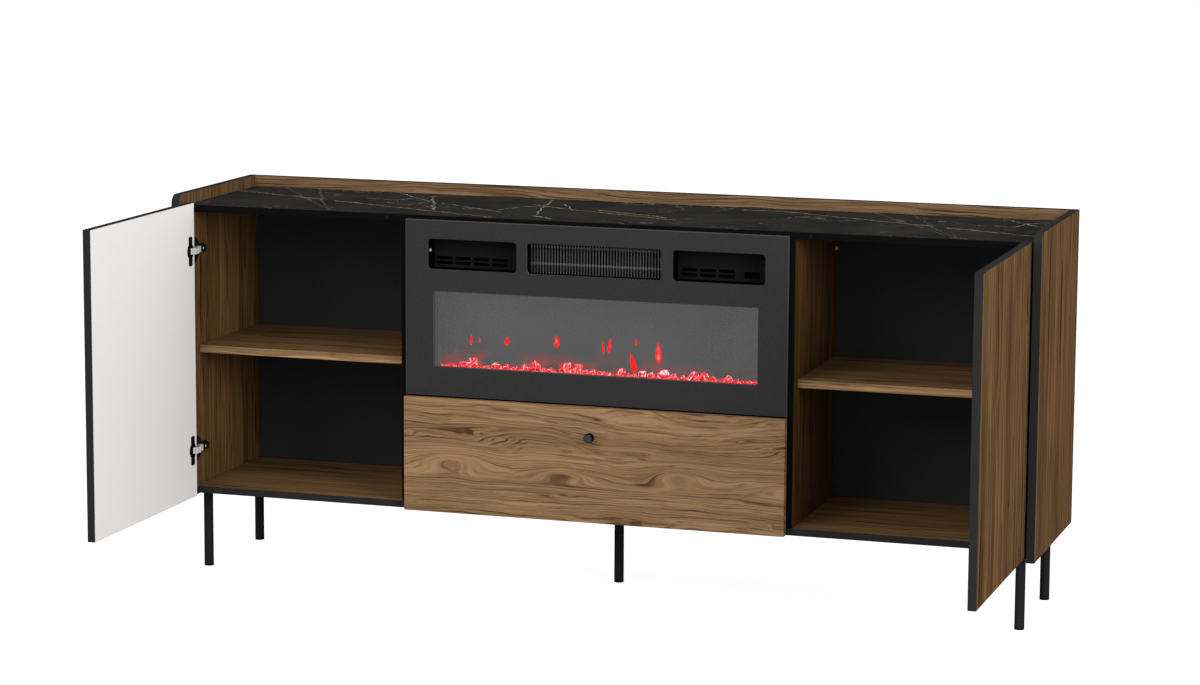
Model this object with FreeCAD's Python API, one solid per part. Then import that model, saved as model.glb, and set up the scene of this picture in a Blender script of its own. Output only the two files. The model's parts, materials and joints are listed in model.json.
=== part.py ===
# Fireplace TV stand: a low sideboard with two hinged doors, one drawer and an electric fire.
# Millimetres. X runs along the front, Y goes from the front to the back, Z is up.
# The origin is on the floor, under the middle of the centre leg.
import FreeCAD, Part
import math
import os

V = FreeCAD.Vector
os.makedirs("parts", exist_ok=True)

# Carcass
width = 2000.0
depth = 450.0
side_t = 18.0
board_t = 16.0
back_t = 4.0
under_z = 180.0
carcass_h = 670.0
gallery_h = 26.0
side_drop = 14.0
side_corner_r = 22.0
front_setback = 40.0
front_to_leg = 234.0
back_recess = 40.0
bay_w = 880.0
cut_over = 5.0

# Loose shelves and their pins
shelf_t = 18.0
shelf_rise = 308.0
shelf_setback = 28.0
shelf_play = 1.0
pin_d = 5.0
pin_depth = 9.0
pin_block_w = 8.0
pin_block_l = 10.0
pin_inset = 40.0

# Cam locks that pull the uprights to the top and bottom boards
cam_d = 15.0
cam_depth = 12.0
cam_edge = 24.0
cam_inset = 32.0

# Legs
leg_d = 22.0
leg_wall = 1.5
leg_side_inset = 27.0
leg_front_inset = 46.0
leg_back_inset = 68.0
leg_plate_w = 48.0
leg_plate_t = 3.0
glide_h = 5.0
glide_plug = 12.0
glide_fit = 0.1
leg_screw_d = 4.0
leg_screw_l = 12.0
leg_screw_head_d = 8.0
leg_screw_head_h = 2.0
leg_screw_inset = 8.0

# Fronts: doors, drawer front and fire front
front_t = 18.0
door_gap = 2.5
door_side_gap = 2.5
door_lap = 6.0
front_gap = 4.0
front_lap = 3.0
drawer_front_h = 260.0
fire_front_t = 8.0
fire_top_gap = 9.0

# Door hinges: the pivot lies inside the door's thickness, near its hinged edge
pivot_share = 0.28
swing_clear = 0.4
hinge_inset = 110.0
cup_d = 35.0
cup_depth = 12.0
cup_wall = 1.5
cup_edge = 4.0
cup_fit = 0.1
flange_h = 68.0
flange_w = 20.0
flange_t = 0.8
flange_corner_r = 6.0
knuckle_h = 14.0
knuckle_t = 2.0
knuckle_play = 0.5
knuckle_r = 18.0
knuckle_end_angle = 168.0
knuckle_root_angle = 175.0
knuckle_start_angle = 112.0
link_start_angle = 109.0
arm_start_angle = 107.0
arm_t = 8.0
arm_l = 50.0
plate_h = 58.0
plate_l = 52.0
plate_t = 3.0
plate_setback = 2.0
plate_notch = 10.0
plate_notch_play = 1.5
plate_wing_share = 0.16
plate_waist_share = 0.56
plate_tail_share = 0.36
open_angle = 90.0

# Push latches let into the front edge of the top board
latch_d = 10.0
latch_l = 50.0
latch_inset = 43.0
plunger_d = 6.0
plunger_l = 34.0
plunger_out = 1.8
plunger_fit = 0.05
plunger_room = 4.0

# Drawer box
drawer_board_t = 15.0
drawer_bottom_t = 4.0
drawer_box_h = 180.0
drawer_box_l = 340.0
drawer_rise = 10.0
drawer_bottom_rise = 8.0
knob_d = 21.0
knob_head_l = 12.0
knob_neck_d = 12.0
knob_neck_l = 11.0
knob_drop = 65.0
knob_round = 1.5

# Telescopic drawer runners, three nested steel channels on each side
runner_w = 13.0
runner_h = 45.0
runner_l = 330.0
runner_steel = 1.2
runner_play = 0.6
runner_rise = 60.0
runner_setback = 6.0

# Fire front openings, measured from the fire front's edges
window_side = 67.5
window_top = 160.5
window_bottom = 67.0
vent_top = 42.0
vent_h = 69.0
vent_w = 211.0
vent_side = 52.0
vent_gap = 23.0
vent_corner_r = 9.0

# Vent trays behind the two outer openings
tray_wall = 1.5
tray_depth = 40.0
slot_w = 38.0
slot_h = 7.5
slot_pitch_x = 43.5
slot_pitch_z = 11.0
slot_low = 10.0
slot_first = 25.0
left_slot_columns = 4
right_slot_columns = 3
slot_rows = 2

# Power switch in the right-hand tray
rocker_w = 32.0
rocker_h = 12.0
rocker_t = 9.0
rocker_side = 26.0
rocker_low = 9.0
rocker_play = 0.8
rocker_out = 3.0
rocker_pin_d = 3.0
rocker_pin_l = 2.0
rocker_fit = 0.05
rocker_end_play = 0.3
rocker_box_wall = 4.0
rocker_sweep = 2.0

# Heater grille
fin_count = 46
fin_t = 2.8
fin_depth = 9.0
grille_recess = 20.0
grille_frame = 4.0
grille_rod_d = 3.0
grille_rod_drop = 9.0
grille_rod_rise = 21.0
collar_d = 8.0
collar_l = 4.4
collar_out = 1.0

# Fire housing and what is inside it
housing_side_gap = 12.0
housing_top_gap = 1.0
housing_depth = 150.0
housing_wall = 1.5
glass_t = 4.0
glass_lap = 8.0
screen_back = 60.0
screen_t = 2.0
screen_over = 30.0
tray_board_t = 3.0
tray_below = 8.0
tray_front_gap = 3.0
tray_back_gap = 3.0
crystal_count = 26
crystal_row_shares = (0.27, 0.73)
crystal_w_share = 0.6
crystal_d_share = 0.36
crystal_height_shares = (0.8, 1.0, 0.7, 0.9)
crystal_h = 20.0
crystal_turn_angle = 37.0
led_w = 12.0
led_t = 2.0

# Heater fan and heating element behind the grille
fan_d = 50.0
fan_side_room = 32.0
fan_back = 92.0
fan_blades = 20
fan_blade_t = 1.0
fan_blade_share = 0.3
fan_disc_t = 3.0
shaft_d = 6.0
shaft_fit = 0.05
shaft_reach = 8.0
shaft_step = 4.0
shaft_end_play = 0.5
fan_motor_d = 60.0
fan_motor_l = 40.0
bracket_t = 6.0
bracket_w = 24.0
element_h = 40.0
element_t = 12.0
element_back = 40.0
element_fin_count = 24
element_fin_t = 1.0
element_bar = 4.0
element_foot = 10.0

# Flame spindle, turned by a small motor behind the flame screen
spindle_back = 100.0
spindle_rise = 50.0
spindle_end_room = 76.5
vane_count = 14
vane_w = 30.0
vane_r = 20.0
vane_t = 1.0
vane_turn_angle = 50.0
spindle_motor_d = 40.0
spindle_motor_l = 22.0

# Mains inlet at the back of the housing and the cable hole behind it
inlet_w = 28.0
inlet_h = 20.0
inlet_l = 22.0
inlet_lip = 4.0
inlet_lip_t = 3.0
inlet_side = 90.0
inlet_rise = 60.0
inlet_socket_w = 22.0
inlet_socket_h = 15.0
inlet_socket_l = 16.0
cable_hole_d = 80.0

# Planes worked out from the sizes above
half_w = width / 2
side_in = half_w - side_t
upright_in = side_in - board_t
bay_half = bay_w / 2
divider_out = bay_half + board_t
front_y = -front_to_leg
back_y = front_y + depth
carcass_y = front_y + front_setback
inner_back_y = back_y - back_recess
floor_z = under_z + board_t
top_z = under_z + carcass_h
ceiling_z = top_z - board_t
side_top_z = top_z + gallery_h
fascia_in_y = carcass_y - door_gap
fascia_out_y = fascia_in_y - front_t
fire_half_w = bay_half + front_lap
drawer_top_z = under_z + drawer_front_h
fire_z0 = drawer_top_z + front_gap
fire_z1 = top_z - fire_top_gap
fire_y = carcass_y - fire_front_t
sill_z0 = drawer_top_z + front_gap / 2 - board_t / 2
sill_z1 = sill_z0 + board_t
shelf_z = floor_z + shelf_rise
leg_x = side_in - leg_side_inset
leg_front_y = carcass_y + leg_front_inset
leg_back_y = back_y - leg_back_inset
door_free_x = fire_half_w + front_gap


def box(x0, x1, y0, y1, z0, z1):
    return Part.makeBox(x1 - x0, y1 - y0, z1 - z0, V(x0, y0, z0))


def rod_x(diameter, x0, x1, y, z):
    return Part.makeCylinder(diameter / 2, x1 - x0, V(x0, y, z), V(1, 0, 0))


def rod_y(diameter, y0, y1, x, z):
    return Part.makeCylinder(diameter / 2, y1 - y0, V(x, y0, z), V(0, 1, 0))


def rod_z(diameter, z0, z1, x, y):
    return Part.makeCylinder(diameter / 2, z1 - z0, V(x, y, z0), V(0, 0, 1))


def mirrored(shape):
    return shape.mirror(V(0, 0, 0), V(1, 0, 0))


def both_sides(shape):
    return Part.makeCompound([mirrored(shape), shape])


def rounded(shape, radius, direction):
    """Round the straight edges of a box-like shape that run along one axis."""
    edges = [e for e in shape.Edges if abs(e.tangentAt(e.FirstParameter).dot(direction)) > 1 - 1e-6]
    return shape.makeFillet(radius, edges)


def one_solid(pieces):
    whole = pieces[0].multiFuse(pieces[1:]).removeSplitter()
    return whole.Solids[0]


def save(name, shape):
    shape.exportStep("parts/" + name + ".step")


# Where the cam locks sit: on the hidden faces, and one at the back of the right-hand compartment
cam_rows = (carcass_y + cam_inset, inner_back_y - cam_inset)
cam_heights = (floor_z + cam_edge, ceiling_z - cam_edge)
upright_cams = [rod_x(cam_d, side_in - cam_depth, side_in, y, z) for y in cam_rows for z in cam_heights]
divider_cams = [rod_x(cam_d, bay_half, bay_half + cam_depth, y, z) for y in cam_rows for z in cam_heights]
back_cam = rod_x(cam_d, divider_out - cam_depth, divider_out, inner_back_y - cam_d, ceiling_z - cam_edge)
right_divider_cams = divider_cams[:-1] + [back_cam]
left_divider_cams = [mirrored(c) for c in divider_cams]
left_upright_cams = [mirrored(c) for c in upright_cams]
save("cam_locks", Part.makeCompound(left_upright_cams + left_divider_cams + right_divider_cams + upright_cams))

# Shelf pins: a round shank in the upright and a flat block under the shelf
shelf_y0 = carcass_y + shelf_setback
shelf_y1 = inner_back_y - shelf_play
pin_rows = (shelf_y0 + pin_inset, shelf_y1 - pin_inset)
pin_z = shelf_z - pin_block_w / 2


def shelf_pin(face_x, into, y):
    """A pin in the upright's face; into is +1 where the upright lies towards +X."""
    tip = face_x + into * pin_depth
    shank = rod_x(pin_d, min(face_x, tip), max(face_x, tip), y, pin_z)
    nose = face_x - into * pin_block_l
    half = pin_block_w / 2
    block = box(min(face_x, nose), max(face_x, nose), y - half, y + half, shelf_z - pin_block_w, shelf_z)
    return one_solid([shank, block])


def pin_holes(face_x, into):
    tip = face_x + into * pin_depth
    return [rod_x(pin_d, min(face_x, tip), max(face_x, tip), y, pin_z) for y in pin_rows]


pins = [shelf_pin(divider_out, -1, y) for y in pin_rows] + [shelf_pin(upright_in, 1, y) for y in pin_rows]
save("shelf_pins", Part.makeCompound([mirrored(p) for p in pins] + pins))

# Outer sides, with the rounded front corner that stands above the top
side = box(side_in, half_w, front_y, back_y, under_z - side_drop, side_top_z)
corner = [e for e in side.Edges
          if e.CenterOfMass.y < front_y + cut_over and e.CenterOfMass.z > side_top_z - cut_over
          and abs(e.tangentAt(e.FirstParameter).x) > 1 - 1e-6]
side = side.makeFillet(side_corner_r, corner)
save("right_side_panel", side)
save("left_side_panel", mirrored(side))

# Inner uprights that carry the door hinges
upright = box(upright_in, side_in, carcass_y, back_y, floor_z, ceiling_z)
upright = upright.cut(upright_cams + pin_holes(upright_in, 1))
save("right_upright", upright)
save("left_upright", mirrored(upright))

# Dividers on each side of the fire
divider = box(bay_half, divider_out, carcass_y, back_y, floor_z, ceiling_z)
divider = divider.cut(pin_holes(divider_out, -1))
save("right_divider", divider.cut(right_divider_cams))
save("left_divider", mirrored(divider.cut(divider_cams)))

# Top board with two blind holes for the push latches, bottom board, and the board under the fire
latch_x = door_free_x + latch_inset
latch_z = top_z - board_t / 2
latch_y1 = carcass_y + latch_l
latch_hole = rod_y(latch_d, carcass_y, latch_y1, latch_x, latch_z)
top = box(-side_in, side_in, carcass_y, back_y - board_t, ceiling_z, top_z)
save("top_panel", top.cut([latch_hole, mirrored(latch_hole)]))
save("fire_shelf", box(-bay_half, bay_half, carcass_y, inner_back_y, sill_z0, sill_z1))
save("gallery_rail", box(-side_in, side_in, back_y - board_t, back_y, ceiling_z, side_top_z))

# Back boards; the middle one has a hole for the fire's cable
inlet_x = bay_half - inlet_side
inlet_z = sill_z1 + inlet_rise
back_y1 = inner_back_y + back_t
bay_back = box(divider_out, upright_in, inner_back_y, back_y1, floor_z, ceiling_z)
save("side_back_panels", both_sides(bay_back))
middle_back = box(-bay_half, bay_half, inner_back_y, back_y1, floor_z, ceiling_z)
cable_hole = rod_y(cable_hole_d, inner_back_y - cut_over, back_y1 + cut_over, inlet_x, inlet_z)
save("middle_back_panel", middle_back.cut(cable_hole))

# Loose shelves in the side compartments
shelf = box(divider_out + shelf_play, upright_in - shelf_play, shelf_y0, shelf_y1, shelf_z, shelf_z + shelf_t)
save("right_shelf", shelf)
save("left_shelf", mirrored(shelf))

# Legs: a steel tube welded to a plate, a plastic glide in its foot, and four screws through the plate
leg_places = (
    ("front_left_leg", -leg_x, leg_front_y),
    ("front_right_leg", leg_x, leg_front_y),
    ("back_left_leg", -leg_x, leg_back_y),
    ("back_right_leg", leg_x, leg_back_y),
    ("centre_leg", 0, 0),
)
plate_half = leg_plate_w / 2
screw_reach = plate_half - leg_screw_inset
plate_z = under_z - leg_plate_t
leg_bore = leg_d - 2 * leg_wall
glides = []
screws = []
screw_holes = []
for name, x, y in leg_places:
    tube = rod_z(leg_d, glide_h, plate_z, x, y)
    plate = box(x - plate_half, x + plate_half, y - plate_half, y + plate_half, plate_z, under_z)
    corners = [(x + sx * screw_reach, y + sy * screw_reach) for sx in (-1, 1) for sy in (-1, 1)]
    shanks = [rod_z(leg_screw_d, plate_z, under_z + leg_screw_l, cx, cy) for cx, cy in corners]
    heads = [rod_z(leg_screw_head_d, plate_z - leg_screw_head_h, plate_z, cx, cy) for cx, cy in corners]
    screws += [one_solid([head, shank]) for head, shank in zip(heads, shanks)]
    screw_holes += shanks
    leg = one_solid([plate, tube]).cut([rod_z(leg_bore, glide_h, plate_z, x, y)] + shanks)
    save(name, leg)
    plug = rod_z(leg_bore - 2 * glide_fit, glide_h, glide_h + glide_plug, x, y)
    glides.append(one_solid([rod_z(leg_d, 0, glide_h, x, y), plug]))
save("leg_glides", Part.makeCompound(glides))
save("leg_screws", Part.makeCompound(screws))
bottom = box(-side_in, side_in, carcass_y, back_y, under_z, floor_z)
save("bottom_panel", bottom.cut(screw_holes))

# Door pivot: set so that no corner of the door meets the carcass or the outer side as it swings
pivot_front = pivot_share * front_t
pivot_back = front_t - pivot_front
pivot_edge = math.sqrt((pivot_back + door_gap - swing_clear) ** 2 - pivot_back ** 2)
door_edge_x = side_in - door_side_gap
pivot_x = door_edge_x - pivot_edge
pivot_y = fascia_out_y + pivot_front
door_z0 = under_z - door_lap
door_z1 = top_z + door_lap
hinge_heights = (door_z0 + hinge_inset, door_z1 - hinge_inset)
cup_x = door_edge_x - cup_edge - cup_d / 2


def swung_open(shape):
    """Turn a right-hand door piece from shut to the open rest position."""
    shape = shape.copy()
    shape.rotate(V(pivot_x, pivot_y, 0), V(0, 0, 1), open_angle)
    return shape


def arc_plate(inner_r, start_angle, end_angle, z, turned=0):
    """A curved strip about the right-hand pivot, between two angles from +X."""
    base = V(pivot_x, pivot_y, z - knuckle_h / 2)
    outer = Part.makeCylinder(inner_r + knuckle_t, knuckle_h, base, V(0, 0, 1), end_angle - start_angle)
    strip = outer.cut(Part.makeCylinder(inner_r, knuckle_h, base, V(0, 0, 1)))
    strip.rotate(V(pivot_x, pivot_y, 0), V(0, 0, 1), start_angle + turned)
    return strip


# Doors: full boards with two round pockets for the hinge cups
door = box(door_free_x, door_edge_x, fascia_out_y, fascia_in_y, door_z0, door_z1)
pockets = [rod_y(cup_d + 2 * cup_fit, fascia_in_y - cup_depth, fascia_in_y, cup_x, z) for z in hinge_heights]
door = swung_open(door.cut(pockets))
save("right_door", door)
save("left_door", mirrored(door))

# Hinge cups: a round bowl in the door, its screw flange, and a curved knuckle about the pivot
link_r = knuckle_r + knuckle_t + knuckle_play
arm_r = link_r + knuckle_t + knuckle_play
flange_y1 = fascia_in_y + flange_t
cups = []
for z in hinge_heights:
    bowl = rod_y(cup_d, fascia_in_y - cup_depth, fascia_in_y, cup_x, z)
    flange = box(cup_x - flange_w / 2, cup_x + flange_w / 2, fascia_in_y, flange_y1,
                 z - flange_h / 2, z + flange_h / 2)
    flange = rounded(flange, flange_corner_r, V(0, 1, 0))
    rim = rod_y(cup_d, fascia_in_y, flange_y1, cup_x, z)
    hollow = rod_y(cup_d - 2 * cup_wall, fascia_in_y - cup_depth + cup_wall, flange_y1 + cut_over, cup_x, z)
    shell = one_solid([bowl, flange, rim]).cut(hollow)
    knuckle = arc_plate(knuckle_r, knuckle_start_angle, knuckle_root_angle, z)
    cups.append(swung_open(one_solid([shell, knuckle])))
save("right_hinge_cups", Part.makeCompound(cups))
save("left_hinge_cups", Part.makeCompound([mirrored(c) for c in cups]))

# Hinge links: curved strips that follow the door at half its angle
links = [arc_plate(link_r, link_start_angle, knuckle_end_angle, z, open_angle / 2) for z in hinge_heights]
save("right_hinge_links", Part.makeCompound(links))
save("left_hinge_links", Part.makeCompound([mirrored(s) for s in links]))

# Hinge arms and their winged mounting plates on the inner uprights, notched where the links pass
arms = []
plates = []
half = knuckle_h / 2
plate_y0 = carcass_y + plate_setback
notch_half = half + plate_notch_play
tail_half = plate_tail_share * plate_h / 2
upper_outline = [
    (plate_y0 + plate_notch, notch_half),
    (plate_y0, notch_half),
    (plate_y0, plate_h / 2),
    (plate_y0 + plate_wing_share * plate_l, plate_h / 2),
    (plate_y0 + plate_waist_share * plate_l, tail_half),
    (plate_y0 + plate_l, tail_half),
]
plate_outline = upper_outline + [(y, -rise) for y, rise in reversed(upper_outline)]
for z in hinge_heights:
    corners = [V(upright_in - plate_t, y, z + rise) for y, rise in plate_outline]
    pad = Part.Face(Part.makePolygon(corners + corners[:1]))
    plates.append(pad.extrude(V(plate_t, 0, 0)))
    bar = box(upright_in - plate_t - arm_t, upright_in - plate_t, carcass_y, carcass_y + arm_l,
              z - half, z + half)
    bar = bar.cut(rod_z(2 * arm_r, z - knuckle_h, z + knuckle_h, pivot_x, pivot_y))
    arms.append(one_solid([bar, arc_plate(arm_r, arm_start_angle, knuckle_end_angle, z)]))
save("hinge_arms", Part.makeCompound([mirrored(a) for a in arms] + arms))
save("hinge_plates", Part.makeCompound([mirrored(p) for p in plates] + plates))

# Push latches: a sleeve in the top board's edge and a sprung plunger
sleeve_bore = plunger_d + 2 * plunger_fit
plunger_y0 = carcass_y - plunger_out
plunger_y1 = plunger_y0 + plunger_l
sleeve_hole = rod_y(sleeve_bore, carcass_y - cut_over, plunger_y1 + plunger_room, latch_x, latch_z)
save("latch_sleeves", both_sides(latch_hole.cut(sleeve_hole)))
plunger = rod_y(plunger_d, plunger_y0, plunger_y1, latch_x, latch_z)
save("right_latch_plunger", plunger)
save("left_latch_plunger", mirrored(plunger))

# Drawer: a face board, two sides, a back and a thin bottom
box_half = bay_half - runner_w
box_z0 = floor_z + drawer_rise
box_z1 = box_z0 + drawer_box_h
box_y1 = fascia_in_y + drawer_box_l
save("drawer_front", box(-fire_half_w, fire_half_w, fascia_out_y, fascia_in_y, under_z, drawer_top_z))
drawer_side = box(box_half - drawer_board_t, box_half, fascia_in_y, box_y1, box_z0, box_z1)
save("drawer_sides", both_sides(drawer_side))
inside_half = box_half - drawer_board_t
save("drawer_back", box(-inside_half, inside_half, box_y1 - drawer_board_t, box_y1, box_z0, box_z1))
tray_z0 = box_z0 + drawer_bottom_rise
drawer_back_in = box_y1 - drawer_board_t
tray_z1 = tray_z0 + drawer_bottom_t
save("drawer_bottom", box(-inside_half, inside_half, fascia_in_y, drawer_back_in, tray_z0, tray_z1))

# Drawer knob: a round head on a thinner neck
knob_z = drawer_top_z - knob_drop
neck_y0 = fascia_out_y - knob_neck_l
head_y0 = neck_y0 - knob_head_l
head = rod_y(knob_d, head_y0, neck_y0, 0, knob_z)
rims = [e for e in head.Edges if abs(e.CenterOfMass.y - head_y0) < knob_round and len(e.Vertexes) == 1]
head = head.makeFillet(knob_round, [e for e in rims if e.Closed])
save("drawer_knob", one_solid([head, rod_y(knob_neck_d, neck_y0, fascia_out_y, 0, knob_z)]))

# Runners: an outer channel on the divider, a middle channel that moves half way, an inner one on the drawer
runner_z = box_z0 + runner_rise
runner_y0 = carcass_y + runner_setback


def channel(web_x, lip_reach, height):
    """A channel that opens towards the drawer, with its web's outer face at web_x."""
    y1 = runner_y0 + runner_l
    low = runner_z - height / 2
    high = runner_z + height / 2
    web = box(web_x - runner_steel, web_x, runner_y0, y1, low, high)
    lower = box(web_x - lip_reach, web_x, runner_y0, y1, low, low + runner_steel)
    upper = box(web_x - lip_reach, web_x, runner_y0, y1, high - runner_steel, high)
    return one_solid([web, lower, upper])


step = runner_steel + runner_play
outer_reach = runner_w - 2 * step
middle_h = runner_h - 2 * step
inner_h = middle_h - 2 * step
save("runner_outer_channels", both_sides(channel(bay_half, outer_reach, runner_h)))
save("runner_middle_channels", both_sides(channel(bay_half - step, outer_reach - step, middle_h)))
inner_rail = box(box_half, box_half + runner_steel, runner_y0, runner_y0 + runner_l,
                 runner_z - inner_h / 2, runner_z + inner_h / 2)
nose_x1 = bay_half - 2 * step
inner_nose = box(box_half, nose_x1, runner_y0, runner_y0 + runner_l,
                 runner_z - inner_h / 2, runner_z - inner_h / 2 + runner_steel)
inner_brow = box(box_half, nose_x1, runner_y0, runner_y0 + runner_l,
                 runner_z + inner_h / 2 - runner_steel, runner_z + inner_h / 2)
save("runner_inner_channels", both_sides(one_solid([inner_rail, inner_nose, inner_brow])))

# Fire front: one panel with a window, two vents and a heater outlet
vent_z1 = fire_z1 - vent_top
vent_z0 = vent_z1 - vent_h
vent_x1 = fire_half_w - vent_side
vent_x0 = vent_x1 - vent_w
grille_half = vent_x0 - vent_gap
window_half = fire_half_w - window_side
window_z0 = fire_z0 + window_bottom
window_z1 = fire_z1 - window_top


def opening(x0, x1, z0, z1):
    hole = box(x0, x1, fire_y - cut_over, carcass_y + cut_over, z0, z1)
    return rounded(hole, vent_corner_r, V(0, 1, 0))


vent_hole = opening(vent_x0, vent_x1, vent_z0, vent_z1)
window_hole = box(-window_half, window_half, fire_y - cut_over, carcass_y + cut_over, window_z0, window_z1)
fire_front = box(-fire_half_w, fire_half_w, fire_y, carcass_y, fire_z0, fire_z1)
outlet_hole = opening(-grille_half, grille_half, vent_z0, vent_z1)
save("fire_front", fire_front.cut([vent_hole, mirrored(vent_hole), outlet_hole, window_hole]))

# Vent trays: open-fronted boxes with rows of slots in their back wall
tray_y1 = carcass_y + tray_depth
tray_back_y = tray_y1 - tray_wall


def slot(x0, z):
    """An air slot through the tray's back wall with round ends, starting at x0."""
    ends_x = (x0 + slot_h / 2, x0 + slot_w - slot_h / 2)
    y0 = tray_back_y - cut_over
    y1 = tray_y1 + cut_over
    middle = box(ends_x[0], ends_x[1], y0, y1, z - slot_h / 2, z + slot_h / 2)
    return one_solid([middle] + [rod_y(slot_h, y0, y1, x, z) for x in ends_x])


def vent_tray(columns):
    """A right-hand tray; its slots start from the side next to the heater outlet."""
    w = tray_wall
    shell = box(vent_x0 - w, vent_x1 + w, carcass_y, tray_y1, vent_z0 - w, vent_z1 + w)
    shell = shell.cut(box(vent_x0, vent_x1, carcass_y - cut_over, tray_back_y, vent_z0, vent_z1))
    places = [(vent_x1 - slot_first - c * slot_pitch_x - slot_w / 2, vent_z0 + slot_low + r * slot_pitch_z)
              for c in range(columns) for r in range(slot_rows)]
    return shell.cut([slot(x, z) for x, z in places])


save("left_vent_tray", mirrored(vent_tray(left_slot_columns)))
right_tray = mirrored(vent_tray(right_slot_columns))
right_tray.translate(V(vent_x0 + vent_x1, 0, 0))

# Power switch: a rocker on two short pins in a pocket behind the right-hand tray
rocker_x1 = vent_x1 - rocker_side
rocker_x = rocker_x1 - rocker_w / 2
rocker_z0 = vent_z0 + rocker_low
rocker_z1 = rocker_z0 + rocker_h
rocker_y0 = tray_back_y - rocker_out
rocker_y1 = rocker_y0 + rocker_t
rocker_y = tray_back_y + rocker_pin_d
gap = rocker_play
block_y1 = rocker_y1 + rocker_sweep + rocker_box_wall
wall = rocker_box_wall
switch_box = box(rocker_x1 - rocker_w - wall, rocker_x1 + wall, tray_back_y, block_y1,
                 rocker_z0 - wall, rocker_z1 + wall)
pocket = box(rocker_x1 - rocker_w - gap, rocker_x1 + gap, tray_back_y - cut_over, rocker_y1 + rocker_sweep,
             rocker_z0 - gap, rocker_z1 + gap)
pin_span = (rocker_z0 - gap - rocker_pin_l, rocker_z1 + gap + rocker_pin_l)
pin_bore = rod_z(rocker_pin_d + 2 * rocker_fit, pin_span[0] - rocker_end_play, pin_span[1] + rocker_end_play,
                 rocker_x, rocker_y)
save("right_vent_tray", one_solid([right_tray, switch_box]).cut([pocket, pin_bore]))
rocker_body = box(rocker_x1 - rocker_w, rocker_x1, rocker_y0, rocker_y1, rocker_z0, rocker_z1)
rocker_pin = rod_z(rocker_pin_d, pin_span[0], pin_span[1], rocker_x, rocker_y)
save("power_switch", one_solid([rocker_body, rocker_pin]))

# Heater grille: upright fins set back in a deep frame, on two cross rods with a collar at each fin
outlet_w = 2 * grille_half
fin_y0 = carcass_y + grille_recess
fin_y1 = fin_y0 + fin_depth
fin_mid_y = (fin_y0 + fin_y1) / 2
fin_pitch = outlet_w / fin_count
frame = box(-grille_half - grille_frame, grille_half + grille_frame, carcass_y, fin_y1,
            vent_z0 - grille_frame, vent_z1 + grille_frame)
frame = frame.cut(box(-grille_half, grille_half, carcass_y - cut_over, fin_y1 + cut_over, vent_z0, vent_z1))
fin_places = [-grille_half + (i + 1 / 2) * fin_pitch for i in range(fin_count)]
fins = [box(x - fin_t / 2, x + fin_t / 2, fin_y0, fin_y1, vent_z0, vent_z1) for x in fin_places]
rod_heights = (vent_z0 + grille_rod_rise, vent_z1 - grille_rod_drop)
rods = [rod_x(grille_rod_d, -grille_half, grille_half, fin_mid_y, z) for z in rod_heights]
collars = [rod_x(collar_d, x - collar_l / 2, x + collar_l / 2, fin_y0 + collar_d / 2 - collar_out, z)
           for x in fin_places for z in rod_heights]
save("heater_grille", one_solid([frame] + fins + rods + collars))

# Housing: a folded steel box behind the fire front, with a hole for the mains inlet
housing_x = bay_half - housing_side_gap
housing_z1 = ceiling_z - housing_top_gap
housing_y1 = carcass_y + housing_depth
room_x = housing_x - housing_wall
room_y1 = housing_y1 - housing_wall
room_z0 = sill_z1 + housing_wall
room_z1 = housing_z1 - housing_wall
shell = box(-housing_x, housing_x, carcass_y, housing_y1, sill_z1, housing_z1)
shell = shell.cut(box(-room_x, room_x, carcass_y - cut_over, room_y1, room_z0, room_z1))
inlet_x0 = inlet_x - inlet_w / 2
inlet_x1 = inlet_x + inlet_w / 2
inlet_z0 = inlet_z - inlet_h / 2
inlet_z1 = inlet_z + inlet_h / 2
inlet_hole = box(inlet_x0, inlet_x1, room_y1 - cut_over, housing_y1 + cut_over, inlet_z0, inlet_z1)
save("fire_housing", shell.cut(inlet_hole))

# Mains inlet: a socket body through the housing's back with a lip outside
inlet = box(inlet_x0, inlet_x1, housing_y1 - inlet_l, housing_y1, inlet_z0, inlet_z1)
lip = box(inlet_x0 - inlet_lip, inlet_x1 + inlet_lip, housing_y1, housing_y1 + inlet_lip_t,
          inlet_z0 - inlet_lip, inlet_z1 + inlet_lip)
socket = box(inlet_x - inlet_socket_w / 2, inlet_x + inlet_socket_w / 2,
             housing_y1 + inlet_lip_t - inlet_socket_l, housing_y1 + inlet_lip_t + cut_over,
             inlet_z - inlet_socket_h / 2, inlet_z + inlet_socket_h / 2)
save("mains_inlet", one_solid([inlet, lip]).cut(socket))

# Viewing glass behind the window, and the flame screen that stands on the housing's floor
save("viewing_glass", box(-window_half - glass_lap, window_half + glass_lap, carcass_y, carcass_y + glass_t,
                          window_z0 - glass_lap, window_z1 + glass_lap))
screen_y0 = carcass_y + screen_back
screen_y1 = screen_y0 + screen_t
save("flame_screen", box(-room_x, room_x, screen_y0, screen_y1, room_z0, window_z1 + screen_over))

# Crystal tray: a folded steel bench between the glass and the screen, with a light strip under it
bench_y0 = carcass_y + glass_t + tray_front_gap
bench_y1 = screen_y0 - tray_back_gap
bench_z1 = window_z0 - tray_below
bench_top = box(-window_half, window_half, bench_y0, bench_y1, bench_z1 - tray_board_t, bench_z1)
bench_front = box(-window_half, window_half, bench_y0, bench_y0 + tray_board_t, room_z0, bench_z1)
bench_back = box(-window_half, window_half, bench_y1 - tray_board_t, bench_y1, room_z0, bench_z1)
save("crystal_tray", one_solid([bench_top, bench_front, bench_back]))
bench_depth = bench_y1 - bench_y0
bench_mid_y = (bench_y0 + bench_y1) / 2
led_z1 = bench_z1 - tray_board_t
save("light_strip", box(-window_half, window_half, bench_mid_y - led_w / 2, bench_mid_y + led_w / 2,
                        led_z1 - led_t, led_z1))

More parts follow.
